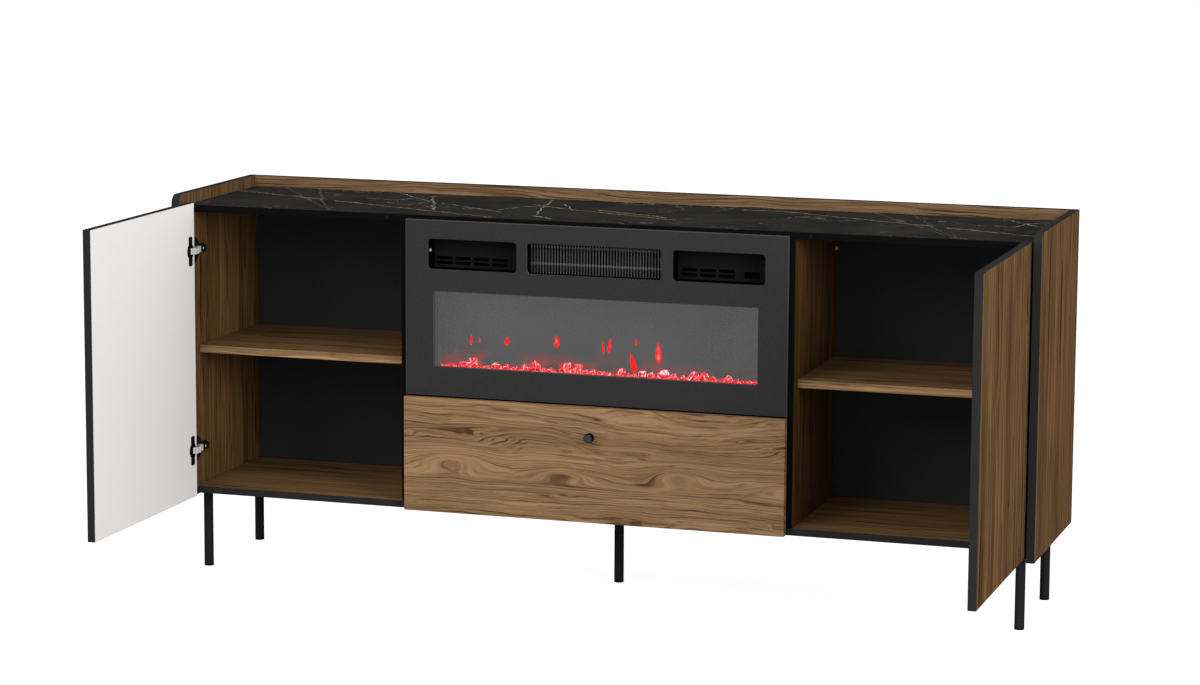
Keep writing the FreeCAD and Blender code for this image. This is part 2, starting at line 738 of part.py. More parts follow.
# Crystals: clear chunks in two rows on the tray, each turned a little further than the last
crystal_pitch = 2 * window_half / crystal_count
crystals = []
for row, row_share in enumerate(crystal_row_shares):
    y = bench_y0 + row_share * bench_depth
    for i in range(crystal_count):
        x = -window_half + (i + 1 / 2) * crystal_pitch
        wide = crystal_w_share * crystal_pitch / 2
        deep = crystal_d_share * bench_depth / 2
        tall = crystal_h * crystal_height_shares[(i + row) % len(crystal_height_shares)]
        reach = min(wide, deep) / math.sqrt(2)
        chunk = Part.makeBox(2 * reach, 2 * reach, tall, V(x - reach, y - reach, bench_z1))
        chunk.rotate(V(x, y, 0), V(0, 0, 1), crystal_turn_angle * (i + row))
        crystals.append(chunk)
save("crystals", Part.makeCompound(crystals))

# Heater fan: a long drum of blades on a shaft, between a motor and a bracket
fan_y = carcass_y + fan_back
fan_z = (vent_z0 + vent_z1) / 2
fan_half = grille_half - fan_side_room
blade_depth = fan_blade_share * fan_d / 2
blades = []
for i in range(fan_blades):
    blade = box(-fan_half, fan_half, fan_y - fan_blade_t / 2, fan_y + fan_blade_t / 2,
                fan_z + fan_d / 2 - blade_depth, fan_z + fan_d / 2)
    blade.rotate(V(0, fan_y, fan_z), V(1, 0, 0), 360 * i / fan_blades)
    blades.append(blade)
disc_places = (-fan_half - fan_disc_t, -fan_disc_t / 2, fan_half)
discs = [rod_x(fan_d, x, x + fan_disc_t, fan_y, fan_z) for x in disc_places]
fan_shaft_x = fan_half + fan_disc_t + shaft_step
fan_shaft = rod_x(shaft_d, -fan_shaft_x - shaft_reach, fan_shaft_x + shaft_reach, fan_y, fan_z)
save("heater_fan", one_solid([fan_shaft] + discs + blades))


def bearing_bracket(x0, x1, y, z):
    """A block that stands out from the housing's back wall and holds a shaft's end."""
    half = bracket_w / 2
    arm = box(x0, x1, y, room_y1, z - half, z + half)
    boss = rod_x(bracket_w, x0, x1, y, z)
    bore = rod_x(shaft_d + 2 * shaft_fit, x0 - cut_over, x1 + cut_over, y, z)
    return one_solid([arm, boss]).cut(bore)


def shaft_motor(diameter, length, x0, y, z):
    """A round motor on a foot from the housing's back wall, with a hole for the shaft it turns."""
    can = rod_x(diameter, x0, x0 + length, y, z)
    foot = box(x0, x0 + length, y, room_y1, z - bracket_w / 2, z + bracket_w / 2)
    bore = rod_x(shaft_d + 2 * shaft_fit, x0 - cut_over, x0 + shaft_reach + shaft_end_play, y, z)
    return one_solid([can, foot]).cut(bore)


save("fan_motor", shaft_motor(fan_motor_d, fan_motor_l, fan_shaft_x, fan_y, fan_z))
fan_bracket = bearing_bracket(-fan_shaft_x - bracket_t, -fan_shaft_x, fan_y, fan_z)

# Heating element: two bars and a row of thin fins, on two feet from the housing's roof
element_y0 = carcass_y + element_back
element_y1 = element_y0 + element_t
element_z0 = fan_z - element_h / 2
element_z1 = fan_z + element_h / 2
bars = [box(-fan_half, fan_half, element_y0, element_y1, z, z + element_bar)
        for z in (element_z0, element_z1 - element_bar)]
element_pitch = 2 * fan_half / element_fin_count
ribs = [box(-fan_half + (i + 1 / 2) * element_pitch - element_fin_t / 2,
            -fan_half + (i + 1 / 2) * element_pitch + element_fin_t / 2,
            element_y0, element_y1, element_z0, element_z1) for i in range(element_fin_count)]
feet = [box(x, x + element_foot, element_y0, element_y1, element_z1 - element_bar, room_z1)
        for x in (-fan_half, fan_half - element_foot)]
save("heating_element", one_solid(bars + ribs + feet))

# Flame spindle: a thin shaft with small bent vanes, between its motor and a bracket
spindle_y = carcass_y + spindle_back
spindle_z = window_z0 + spindle_rise
spindle_half = room_x - spindle_end_room
vane_pitch = 2 * spindle_half / vane_count
vanes = []
for i in range(vane_count):
    x = -spindle_half + (i + 1 / 2) * vane_pitch
    vane = box(x - vane_w / 2, x + vane_w / 2, spindle_y - vane_t / 2, spindle_y + vane_t / 2,
               spindle_z - vane_r, spindle_z + vane_r)
    vane.rotate(V(x, spindle_y, spindle_z), V(1, 0, 0), vane_turn_angle * i)
    vanes.append(vane)
spindle_x = spindle_half + shaft_step
spindle_shaft = rod_x(shaft_d, -spindle_x - shaft_reach, spindle_x + shaft_reach, spindle_y, spindle_z)
save("flame_spindle", one_solid([spindle_shaft] + vanes))
save("spindle_motor", shaft_motor(spindle_motor_d, spindle_motor_l, spindle_x, spindle_y, spindle_z))
spindle_bracket = bearing_bracket(-spindle_x - bracket_t, -spindle_x, spindle_y, spindle_z)
save("shaft_brackets", Part.makeCompound([fan_bracket, spindle_bracket]))
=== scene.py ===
import json
import math
import random

import bmesh
import bpy
from mathutils import Matrix, Vector

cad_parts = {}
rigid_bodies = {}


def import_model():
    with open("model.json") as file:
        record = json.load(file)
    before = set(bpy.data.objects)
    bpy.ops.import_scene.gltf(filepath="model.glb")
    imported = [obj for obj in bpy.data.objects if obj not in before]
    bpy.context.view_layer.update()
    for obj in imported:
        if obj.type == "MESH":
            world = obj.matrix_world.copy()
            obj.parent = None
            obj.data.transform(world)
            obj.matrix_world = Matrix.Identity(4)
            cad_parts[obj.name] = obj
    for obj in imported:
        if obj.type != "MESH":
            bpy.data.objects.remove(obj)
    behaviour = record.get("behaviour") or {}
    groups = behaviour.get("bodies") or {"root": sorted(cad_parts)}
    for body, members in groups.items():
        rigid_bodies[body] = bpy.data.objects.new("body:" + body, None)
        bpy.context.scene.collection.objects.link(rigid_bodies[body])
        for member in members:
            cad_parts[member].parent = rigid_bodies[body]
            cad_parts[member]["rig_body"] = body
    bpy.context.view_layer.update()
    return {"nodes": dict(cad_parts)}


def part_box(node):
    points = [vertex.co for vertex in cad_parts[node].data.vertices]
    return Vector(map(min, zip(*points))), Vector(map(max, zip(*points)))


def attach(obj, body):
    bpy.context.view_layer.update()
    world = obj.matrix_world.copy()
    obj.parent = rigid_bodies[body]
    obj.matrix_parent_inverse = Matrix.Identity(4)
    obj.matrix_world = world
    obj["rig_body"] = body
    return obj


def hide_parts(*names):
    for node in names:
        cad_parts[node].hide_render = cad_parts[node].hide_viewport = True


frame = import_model()


# Inner carcass boards: bottom, two dividers and two uprights of 16 mm chipboard. A printed walnut foil
# covers the faces that the compartments show, black band covers the cut edges, and cams draw them together.
def srgb(red, green, blue):
    """A colour as it is read off a screen, from 0 to 255, as the linear colour that a shader takes."""
    shares = [byte / 255 for byte in (red, green, blue)]
    linear = [s / 12.92 if s <= 0.04045 else ((s + 0.055) / 1.055) ** 2.4 for s in shares]
    return (*linear, 1.0)


def put(tree, kind, inputs, **settings):
    """Adds one shader node; inputs gives its sockets, by name or number, a value or a link."""
    made = tree.nodes.new("ShaderNode" + kind)
    for name, value in settings.items():
        setattr(made, name, value)
    for key, value in inputs.items():
        if isinstance(value, bpy.types.NodeSocket):
            tree.links.new(value, made.inputs[key])
        else:
            made.inputs[key].default_value = value
    return made


def calc(tree, operation, first, second=0.0):
    """One sum on two values."""
    return put(tree, "Math", {0: first, 1: second}, operation=operation).outputs[0]


def mixed(tree, share, first, second):
    """A colour between two others."""
    return put(tree, "Mix", {0: share, 6: first, 7: second}, data_type="RGBA").outputs[2]


def eased(tree, value, low, high, start=0.0, end=1.0):
    """A soft step from start to end while the value goes from low to high."""
    sockets = {"Value": value, "From Min": low, "From Max": high, "To Min": start, "To Max": end}
    return put(tree, "MapRange", sockets, interpolation_type="SMOOTHSTEP").outputs[0]


def stretched(tree, place, scale):
    """A place with each axis scaled, so that a pattern repeats that many times in a metre."""
    return put(tree, "VectorMath", {0: place, 1: scale}, operation="MULTIPLY").outputs[0]


def noise(tree, place, scale, detail=2.0, roughness=0.5):
    """Soft noise from 0 to 1, with its own count per metre along each axis."""
    counted = stretched(tree, place, scale)
    sockets = {"Vector": counted, "Scale": 1.0, "Detail": detail, "Roughness": roughness}
    return put(tree, "TexNoise", sockets).outputs["Fac"]


def centred(tree, place, scale, detail=2.0, roughness=0.5):
    """Soft noise about zero, from -0.5 to 0.5."""
    return calc(tree, "SUBTRACT", noise(tree, place, scale, detail, roughness), 0.5)


def added(tree, first, second, share):
    """The first value and a share of the second."""
    return calc(tree, "ADD", first, calc(tree, "MULTIPLY", second, share))


def shader_group(name, inputs, outputs):
    """An empty node group with named sockets; returns its tree, its inputs and its output node."""
    tree = bpy.data.node_groups.new(name, "ShaderNodeTree")
    for socket, kind in inputs.items():
        tree.interface.new_socket(socket, in_out="INPUT", socket_type="NodeSocket" + kind)
    for socket, kind in outputs.items():
        tree.interface.new_socket(socket, in_out="OUTPUT", socket_type="NodeSocket" + kind)
    return tree, tree.nodes.new("NodeGroupInput").outputs, tree.nodes.new("NodeGroupOutput")


# The walnut print runs along X of the place that it is given. Growth rings wander with the figure, and dark
# lines of two widths, streaks and pores follow them over broad bands of tone.
walnut_print, given, result = shader_group(
    "walnut_print",
    {"Place": "Vector", "Figure": "Float", "Light": "Color", "Middle": "Color", "Dark": "Color"},
    {"Color": "Color", "Height": "Float"},
)
tree = walnut_print
axes = put(tree, "SeparateXYZ", {0: given["Place"]}).outputs
across = calc(tree, "ADD", axes[1], axes[2])
sway = centred(tree, given["Place"], (1.3, 4.0, 4.0), 1.0)
curl = centred(tree, given["Place"], (4.5, 13.0, 13.0), 1.5)
ripple = centred(tree, given["Place"], (17.0, 34.0, 34.0))
sway_reach = 0.10
curl_reach = 0.075
ripple_reach = 0.009
bend = added(tree, calc(tree, "MULTIPLY", sway, sway_reach), curl, curl_reach)
bend = added(tree, bend, ripple, ripple_reach)
warp = added(tree, across, bend, given["Figure"])
flow = put(tree, "CombineXYZ", {0: axes[0], 1: warp, 2: axes[2]}).outputs[0]
uneven = noise(tree, flow, (1.2, 30.0, 18.0))


def dark_bands(count, drift, low, high, end):
    """Bands across the print, so many in a metre, each darkening softly and ending sharply; the drift
    sets them uneven."""
    rise = calc(tree, "FRACT", added(tree, calc(tree, "MULTIPLY", warp, count), uneven, drift))
    return calc(tree, "MULTIPLY", eased(tree, rise, low, high), eased(tree, rise, 1.0, end))


rings_in_metre = 36.0
lines_in_metre = 118.0
fine_lines_in_metre = 250.0
season = dark_bands(rings_in_metre, 3.0, 0.0, 0.9, 0.94)
line = dark_bands(lines_in_metre, 7.0, 0.55, 0.86, 0.90)
line_breaks = eased(tree, noise(tree, flow, (1.2, 46.0, 30.0), 1.0), 0.28, 0.60)
line = calc(tree, "MULTIPLY", line, line_breaks)
fine_line = dark_bands(fine_lines_in_metre, 12.0, 0.50, 0.88, 0.92)
fine_breaks = eased(tree, noise(tree, flow, (1.0, 90.0, 60.0), 1.0), 0.34, 0.62)
fine_line = calc(tree, "MULTIPLY", fine_line, fine_breaks)
streak = centred(tree, flow, (2.0, 240.0, 150.0), 3.0, 0.6)
pore = eased(tree, noise(tree, flow, (16.0, 520.0, 360.0), 1.0), 0.58, 0.68)
tone = centred(tree, flow, (1.4, 15.0, 9.0))
plain_wood = 0.83
value = plain_wood
for mark, share in (
    (tone, 0.85),
    (streak, 1.5),
    (season, -0.22),
    (line, -0.50),
    (fine_line, -0.36),
    (pore, -0.22),
):
    value = added(tree, value, mark, share)
lower = mixed(tree, eased(tree, value, -0.05, 0.55), given["Dark"], given["Middle"])
colour = mixed(tree, eased(tree, value, 0.45, 1.05), lower, given["Light"])
tree.links.new(colour, result.inputs["Color"])
tree.links.new(value, result.inputs["Height"])


def finish(name, roughness, sheen=0.0):
    """A new material; returns it with its tree, its shader and the place on the object."""
    material = bpy.data.materials.new(name)
    material.use_nodes = True
    tree = material.node_tree
    shader = tree.nodes["Principled BSDF"]
    shader.inputs["Roughness"].default_value = roughness
    shader.inputs["Specular IOR Level"].default_value = sheen
    return material, tree, shader, put(tree, "TexCoord", {}).outputs["Object"]


def eye_row(tree, place, first, step, reach, level, half, lift):
    """Shifts a level print about a row of spots, so that its rings close into eyes there. The first spot,
    the step between them and their reach run along X; the level and half the height along Z."""
    axes = put(tree, "SeparateXYZ", {0: place}).outputs
    from_first = {0: calc(tree, "SUBTRACT", axes[0], first), 1: step / 2, 2: -step / 2}
    beside = put(tree, "Math", from_first, operation="WRAP").outputs[0]
    above = calc(tree, "SUBTRACT", axes[2], level)
    near = eased(tree, calc(tree, "ABSOLUTE", beside), reach, 0.0)
    near = calc(tree, "MULTIPLY", near, eased(tree, calc(tree, "ABSOLUTE", above), half, 0.0))
    shifted = added(tree, axes[2], near, lift)
    return put(tree, "CombineXYZ", {0: axes[0], 1: axes[1], 2: shifted}).outputs[0]


def walnut(name, grain, start, figure, light, middle, dark, eyes=()):
    """Walnut foil with its grain along axis 0, 1 or 2, cut from its own stretch of the print; the dark
    marks in it are duller and lie a little lower."""
    dull = 0.52
    glossy = 0.38
    material, tree, shader, place = finish(name, (dull + glossy) / 2)
    for row in eyes:
        place = eye_row(tree, place, **row)
    axes = put(tree, "SeparateXYZ", {0: place}).outputs
    turned = [axes[(grain + step) % 3] for step in range(3)]
    along = put(tree, "CombineXYZ", {0: turned[0], 1: turned[1], 2: turned[2]}).outputs[0]
    cut = put(tree, "VectorMath", {0: along, 1: start}, operation="ADD").outputs[0]
    foil = tree.nodes.new("ShaderNodeGroup")
    foil.node_tree = walnut_print
    tree.links.new(cut, foil.inputs["Place"])
    foil.inputs["Figure"].default_value = figure
    for socket, setting in (("Light", light), ("Middle", middle), ("Dark", dark)):
        foil.inputs[socket].default_value = setting
    tree.links.new(foil.outputs["Color"], shader.inputs["Base Color"])
    gloss = eased(tree, foil.outputs["Height"], 0.1, 1.0, dull, glossy)
    tree.links.new(gloss, shader.inputs["Roughness"])
    bump = put(tree, "Bump", {"Height": foil.outputs["Height"], "Strength": 0.12, "Distance": 0.0006})
    tree.links.new(bump.outputs["Normal"], shader.inputs["Normal"])
    return material


def shaded(colour, share):
    """A colour made darker or lighter, to a share of itself."""
    return tuple(channel * share for channel in colour[:3]) + (1.0,)


def coated(name, colour, spread, scale, roughness, bump=0.0, sheen=0.0):
    """A plain coating whose tone and gloss vary a little, by a noise of that many grains per metre."""
    grain_share = 0.75
    gloss_spread = 0.05
    material, tree, shader, place = finish(name, roughness, sheen)
    grain = noise(tree, place, (scale, scale, scale), 2.0, 0.6)
    cloud = noise(tree, place, (4.0, 4.0, 4.0))
    shade = added(tree, calc(tree, "MULTIPLY", grain, grain_share), cloud, 1 - grain_share)
    tint = mixed(tree, eased(tree, shade, 0.3, 0.7), shaded(colour, 1 - spread), shaded(colour, 1 + spread))
    tree.links.new(tint, shader.inputs["Base Color"])
    gloss = eased(tree, shade, 0.3, 0.7, roughness + gloss_spread, roughness - gloss_spread)
    tree.links.new(gloss, shader.inputs["Roughness"])
    if bump:
        relief = put(tree, "Bump", {"Height": grain, "Strength": bump, "Distance": 0.0004})
        tree.links.new(relief.outputs["Normal"], shader.inputs["Normal"])
    return material


def piece(name, bm, slot, body, *materials):
    """Makes the mesh an object with its materials and the body that it rides on; the slot in the record is
    not used.
    """
    mesh = bpy.data.meshes.new(name)
    bm.to_mesh(mesh)
    bm.free()
    for material in materials:
        mesh.materials.append(material)
    made = bpy.data.objects.new(name, mesh)
    bpy.context.scene.collection.objects.link(made)
    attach(made, body)
    return made


def copied(node):
    """A closed mesh of the node's own solid, to be shaped further."""
    merge_reach = 0.00002
    bm = bmesh.new()
    bm.from_mesh(frame["nodes"][node].data)
    bmesh.ops.remove_doubles(bm, verts=bm.verts, dist=merge_reach)
    return bm


def board(node, slot, band, faces, ease=0.0007):
    """A board of the node's solid with its long edges eased and edged in band; faces maps an axis
    ("-X" to "+Z") to the finish of the side that faces that way."""
    least_edge = 0.012
    least_angle = math.radians(40)
    flat_angle = math.radians(0.5)
    square_on = 0.99
    bm = copied(node)
    if ease:
        bmesh.ops.dissolve_limit(bm, angle_limit=flat_angle, verts=bm.verts, edges=bm.edges)
        sharp = [e for e in bm.edges if e.calc_length() > least_edge and e.calc_face_angle(0) > least_angle]
        bmesh.ops.bevel(bm, geom=sharp, offset=ease, segments=2, profile=0.5, affect="EDGES", material=-1)
        bmesh.ops.triangulate(bm, faces=[f for f in bm.faces if len(f.verts) > 4])
    materials = [band] + list(dict.fromkeys(faces.values()))
    for face in bm.faces:
        face.material_index = 0
        for side, material in faces.items():
            facing = Vector((0, 0, 0))
            facing["XYZ".index(side[1])] = -1 if side[0] == "-" else 1
            if face.normal.dot(facing) > square_on:
                face.material_index = materials.index(material)
    made = piece(node + "_board", bm, slot, frame["nodes"][node]["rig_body"], *materials)
    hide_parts(node)


level_grain = 0
upright_grain = 2
inner_tones = (srgb(138, 106, 71), srgb(108, 81, 52), srgb(60, 43, 27))
# Painted shade: the uprights' bay faces get a darker copy of the level boards' walnut foil, standing in for
# the shade inside the bays.
shaded_upright_tones = (srgb(122, 92, 58), srgb(94, 69, 41), srgb(50, 35, 20))
shaded_upright_walnut = walnut("shaded_upright_walnut", upright_grain, (3.1, 0.0, 0.7), 0.35, *shaded_upright_tones)
level_walnut = walnut("level_walnut", level_grain, (5.3, 1.2, 0.0), 0.55, *inner_tones)
edge_band = coated("edge_band", srgb(44, 44, 45), 0.12, 500, 0.48)
black_foil = coated("black_foil", srgb(22, 22, 23), 0.12, 350, 0.55)
board("bottom_panel", "walnut_board", edge_band, {"+Z": level_walnut})
board("left_upright", "walnut_board", edge_band, {"+X": shaded_upright_walnut, "-X": black_foil})
board("right_upright", "walnut_board", edge_band, {"-X": shaded_upright_walnut, "+X": black_foil})
divider_band = coated("divider_band", srgb(15, 15, 16), 0.12, 350, 0.5)
# Painted shade: the dividers' bay faces get a still darker copy of the same walnut foil, for the shade that
# falls on them inside the bays.
shaded_divider_tones = (srgb(108, 79, 48), srgb(80, 57, 32), srgb(40, 27, 14))
shaded_divider_walnut = walnut("shaded_divider_walnut", upright_grain, (8.2, 0.3, 0.1), 0.30, *shaded_divider_tones)
board("left_divider", "walnut_board", divider_band, {"-X": shaded_divider_walnut, "+X": black_foil})
board("right_divider", "walnut_board", divider_band, {"+X": shaded_divider_walnut, "-X": black_foil})


# Black boards: the shelf that parts the fire from the drawer, and three thin back panels of black
# hardboard that are pinned into grooves at the back.
def coat(material, *nodes):
    """Gives kept CAD pieces a finish."""
    for node in nodes:
        for slot in frame["nodes"][node].material_slots:
            slot.material = material


back_black = coated("back_black", srgb(50, 50, 51), 0.10, 300, 0.6)
board("fire_shelf", "black_board", divider_band, {"+Z": black_foil, "-Z": black_foil})
coat(back_black, "side_back_panels", "middle_back_panel")


# Outer sides and gallery rail: 18 mm boards that stand proud of the top at the ends and the back. Walnut
# foil covers both faces, black band runs round the edge, and the front corner of each side is rounded.
side_tones = (srgb(124, 96, 66), srgb(94, 70, 46), srgb(48, 35, 22))
side_walnut = walnut("side_walnut", upright_grain, (1.7, 0.4, 0.9), 0.30, *side_tones)
rail_tones = (srgb(142, 113, 83), srgb(108, 83, 58), srgb(60, 44, 29))
rail_walnut = walnut("rail_walnut", level_grain, (2.6, 0.0, 0.3), 0.6, *rail_tones)
for side in ("left", "right"):
    board(side + "_side_panel", "walnut_board", edge_band, {"-X": side_walnut, "+X": side_walnut})
board("gallery_rail", "walnut_board", edge_band, {"-Y": rail_walnut, "+Y": rail_walnut})

# Top: a board pressed with a black stone laminate, let in between the sides and the rail. Long gold veins
# run nearly along it, pale cracks cross them, and its front edge and underside are black.
stone_vein, given, result = shader_group(
    "stone_vein",
    {"Place": "Vector", "From": "Vector", "To": "Vector", "Width": "Float"},
    {"Mask": "Float"},
)
tree = stone_vein
run = put(tree, "VectorMath", {0: given["To"], 1: given["From"]}, operation="SUBTRACT").outputs[0]
reach = put(tree, "VectorMath", {0: given["Place"], 1: given["From"]}, operation="SUBTRACT").outputs[0]
run_square = put(tree, "VectorMath", {0: run, 1: run}, operation="DOT_PRODUCT").outputs["Value"]
reach_run = put(tree, "VectorMath", {0: reach, 1: run}, operation="DOT_PRODUCT").outputs["Value"]
run_share = put(tree, "Clamp", {0: calc(tree, "DIVIDE", reach_run, run_square)}).outputs[0]
foot = put(tree, "VectorMath", {0: run, "Scale": run_share}, operation="SCALE").outputs[0]
gap = put(tree, "VectorMath", {0: reach, 1: foot}, operation="DISTANCE").outputs["Value"]
tree.links.new(eased(tree, gap, given["Width"], 0.0), result.inputs["Mask"])


def veins(tree, place, width, *lines):
    """A mask of veins, each a line through a few points of the laminate's print."""
    mask = 0.0
    for points in lines:
        for start, end in zip(points, points[1:]):
            vein = tree.nodes.new("ShaderNodeGroup")
            vein.node_tree = stone_vein
            tree.links.new(place, vein.inputs["Place"])
            vein.inputs["From"].default_value = (*start, 0.0)
            vein.inputs["To"].default_value = (*end, 0.0)
            vein.inputs["Width"].default_value = width
            mask = calc(tree, "MAXIMUM", vein.outputs["Mask"], mask)
    return mask


stone, tree, shader, place = finish("stone_laminate", 0.38)
print_start = -1.20
print_repeat = 1.44
sides = put(tree, "SeparateXYZ", {0: place}).outputs
print_range = {0: sides[0], 1: print_start + print_repeat, 2: print_start}
print_x = put(tree, "Math", print_range, operation="WRAP").outputs[0]
sheet = put(tree, "CombineXYZ", {0: print_x, 1: sides[1]}).outputs[0]
wander_reach = 0.030
wander_noise = {"Vector": sheet, "Scale": 26.0, "Detail": 4.0, "Roughness": 0.6}
wander = put(tree, "TexNoise", wander_noise).outputs["Color"]
wander = put(tree, "VectorMath", {0: wander, 1: (0.5, 0.5, 0.5)}, operation="SUBTRACT").outputs[0]
wander = stretched(tree, wander, (wander_reach, wander_reach, 0.0))
sheet = put(tree, "VectorMath", {0: wander, 1: sheet}, operation="ADD").outputs[0]
gold_width = 0.0036
faint_width = 0.0034
pale_width = 0.0026
gold = veins(
    tree, sheet, gold_width,
    ((-1.20, 0.150), (-1.10, 0.150), (-0.90, 0.075), (-0.73, 0.005)),
    ((-0.69, -0.01), (-0.25, -0.175)),
    ((-0.235, 0.075), (-0.095, 0.01), (0.15, -0.08)),
    ((-0.06, 0.03), (0.12, -0.05)),
)
faint = veins(
    tree, sheet, faint_width,
    ((-0.92, 0.23), (-0.775, 0.02), (-0.64, -0.17)),
    ((-0.82, 0.215), (-0.705, -0.05), (-0.645, -0.145)),
    ((-0.80, 0.05), (-0.745, -0.03)),
    ((-0.81, -0.02), (-0.735, 0.035)),
    ((0.06, -0.01), (0.115, 0.115), (0.055, 0.22)),
    ((0.19, 0.10), (0.225, 0.21)),
)
pale = veins(
    tree, sheet, pale_width,
    ((-0.64, 0.055), (-0.555, 0.055), (-0.535, 0.125), (-0.42, 0.225)),
    ((-0.60, 0.18), (-0.48, 0.055)),
    ((-0.50, 0.13), (-0.42, -0.08)),
    ((-0.44, 0.03), (-0.26, -0.08)),
    ((-0.28, -0.04), (-0.24, 0.04), (-0.19, 0.05)),
    ((-0.165, -0.10), (-0.195, 0.015), (-0.225, 0.195)),
    ((-0.175, 0.12), (-0.115, 0.005)),
    ((-0.17, -0.12), (-0.10, -0.165)),
)
cloud = noise(tree, place, (7.0, 7.0, 7.0), 5.0, 0.6)
ground = mixed(tree, eased(tree, cloud, 0.3, 0.7), srgb(34, 34, 32), srgb(46, 45, 42))
hair = centred(tree, sheet, (9.0, 14.0, 1.0), 4.0, 0.55)
hair = eased(tree, calc(tree, "ABSOLUTE", hair), 0.010, 0.0015, 0.0, 0.30)
hair = calc(tree, "MULTIPLY", hair, eased(tree, noise(tree, place, (5.0, 7.0, 1.0)), 0.52, 0.66))
broken = eased(tree, noise(tree, place, (55.0, 55.0, 1.0), 3.0), 0.36, 0.62, 0.12, 0.90)
faint_share = 0.22
least_gold = 0.5
faint = calc(tree, "MULTIPLY", faint, faint_share)
cracks = calc(tree, "MULTIPLY", calc(tree, "MAXIMUM", pale, faint), broken)
veined = mixed(tree, calc(tree, "MAXIMUM", hair, cracks), ground, srgb(172, 166, 158))
gold = calc(tree, "MULTIPLY", gold, calc(tree, "MAXIMUM", broken, least_gold))
veined = mixed(tree, gold, veined, srgb(166, 138, 110))
tree.links.new(veined, shader.inputs["Base Color"])
tree.links.new(eased(tree, cloud, 0.3, 0.7, 0.46, 0.36), shader.inputs["Roughness"])
board("top_panel", "stone_laminate", divider_band, {"+Z": stone, "-Z": black_foil})


# Shelves: one loose 18 mm board in each side bay, walnut all round, lying on four steel pins. The cam
# locks that hold the carcass show as small bright discs, and a bolt head stands out of each divider.
shelf_walnut = walnut("shelf_walnut", level_grain, (7.9, 0.6, 0.2), 0.5, *inner_tones)
lip_tones = (srgb(178, 142, 103), srgb(141, 110, 77), srgb(82, 61, 42))
shelf_lip = walnut("shelf_lip", level_grain, (9.4, 0.1, 0.2), 0.4, *lip_tones)
for side in ("left", "right"):
    board(side + "_shelf", "walnut_board", shelf_walnut, {"-Y": shelf_lip})


def metal(name, colour, roughness, scratch):
    """Bare or plated metal with fine rubbed marks that change its gloss."""
    material, tree, shader, place = finish(name, roughness)
    rub = noise(tree, place, (900.0, 900.0, 160.0), 3.0, 0.6)
    tint = mixed(tree, eased(tree, rub, 0.3, 0.7), shaded(colour, 0.82), colour)
    tree.links.new(tint, shader.inputs["Base Color"])
    gloss = eased(tree, rub, 0.3, 0.7, roughness - scratch, roughness + scratch)
    tree.links.new(gloss, shader.inputs["Roughness"])
    shader.inputs["Metallic"].default_value = 1.0
    return material


zinc = metal("zinc", srgb(196, 198, 200), 0.32, 0.08)
bright_metal = metal("bright_metal", srgb(226, 226, 226), 0.22, 0.06)
burnished = metal("burnished", srgb(58, 56, 54), 0.4, 0.08)
coat(burnished, "shelf_pins")
coat(zinc, "cam_locks")


def screw(bm, place, side, head_radius=0.0032, rise=0.0012):
    """A pan-head screw with a sunk drive, which faces along X towards the given side."""
    face_share = 0.8
    drive_share = 0.5
    drive_depth = 0.5 * rise
    turn = Matrix.Rotation(side * math.pi / 2, 4, "Y")
    head = bmesh.ops.create_cone(
        bm, cap_ends=True, segments=16, radius1=head_radius, radius2=face_share * head_radius, depth=rise,
        matrix=Matrix.Translation(place) @ turn,
    )["verts"]
    faces = {f for v in head for f in v.link_faces}
    outer = max(faces, key=lambda f: f.normal.x * side * (len(f.verts) > 4))
    bmesh.ops.inset_individual(bm, faces=[outer], thickness=drive_share * head_radius)
    bmesh.ops.translate(bm, vec=(-side * drive_depth, 0, 0), verts=outer.verts)


screw_grey = coated("screw_grey", srgb(196, 196, 196), 0.10, 900, 0.4)
divider_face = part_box("right_divider")[1].x
bolt_radius = 0.0045
bolt_rise = 0.006
bolt_y = 0.166
bolt_z = 0.770
bm = bmesh.new()
for side in (-1, 1):
    screw(bm, (side * (divider_face + bolt_rise / 2), bolt_y, bolt_z), side, bolt_radius, bolt_rise)
piece("divider_bolts", bm, "zinc", "carcass", screw_grey)

# Legs: five straight 22 mm steel tubes with a welded plate, powder-coated matt black and screwed up into
# the bottom board; each ends in a pressed-in black plastic glide.
powder_coat = coated("powder_coat", srgb(38, 38, 39), 0.16, 900, 0.5, 0.15)
black_plastic = coated("black_plastic", srgb(26, 26, 27), 0.12, 700, 0.45)
legs = ("front_left_leg", "front_right_leg", "back_left_leg", "back_right_leg", "centre_leg")
coat(powder_coat, *legs)
coat(black_plastic, "leg_glides")
coat(zinc, "leg_screws")

# Fire housing and the works inside it: a folded sheet-steel box with a drum fan, a heating coil, the
# turning flame spindle, their motors and brackets, a light strip under the tray and a mains inlet.
dark_sheet = coated("dark_sheet", srgb(30, 30, 31), 0.15, 600, 0.5)
coat(dark_sheet, "fire_housing", "crystal_tray", "shaft_brackets")
coat(zinc, "fan_motor", "spindle_motor")
coat(bright_metal, "flame_spindle")
fan_black = coated("fan_black", srgb(9, 9, 9), 0.2, 400, 0.5)
coat(fan_black, "heater_fan", "heating_element")
coat(black_plastic, "mains_inlet")
strip, tree, shader, place = finish("light_strip", 0.4)
dots = eased(tree, noise(tree, place, (60.0, 60.0, 60.0), 0.0), 0.45, 0.6)
tree.links.new(mixed(tree, dots, srgb(60, 20, 20), srgb(255, 70, 60)), shader.inputs["Base Color"])
tree.links.new(mixed(tree, dots, srgb(90, 8, 8), srgb(255, 60, 50)), shader.inputs["Emission Color"])
shader.inputs["Emission Strength"].default_value = 1.0
coat(strip, "light_strip")
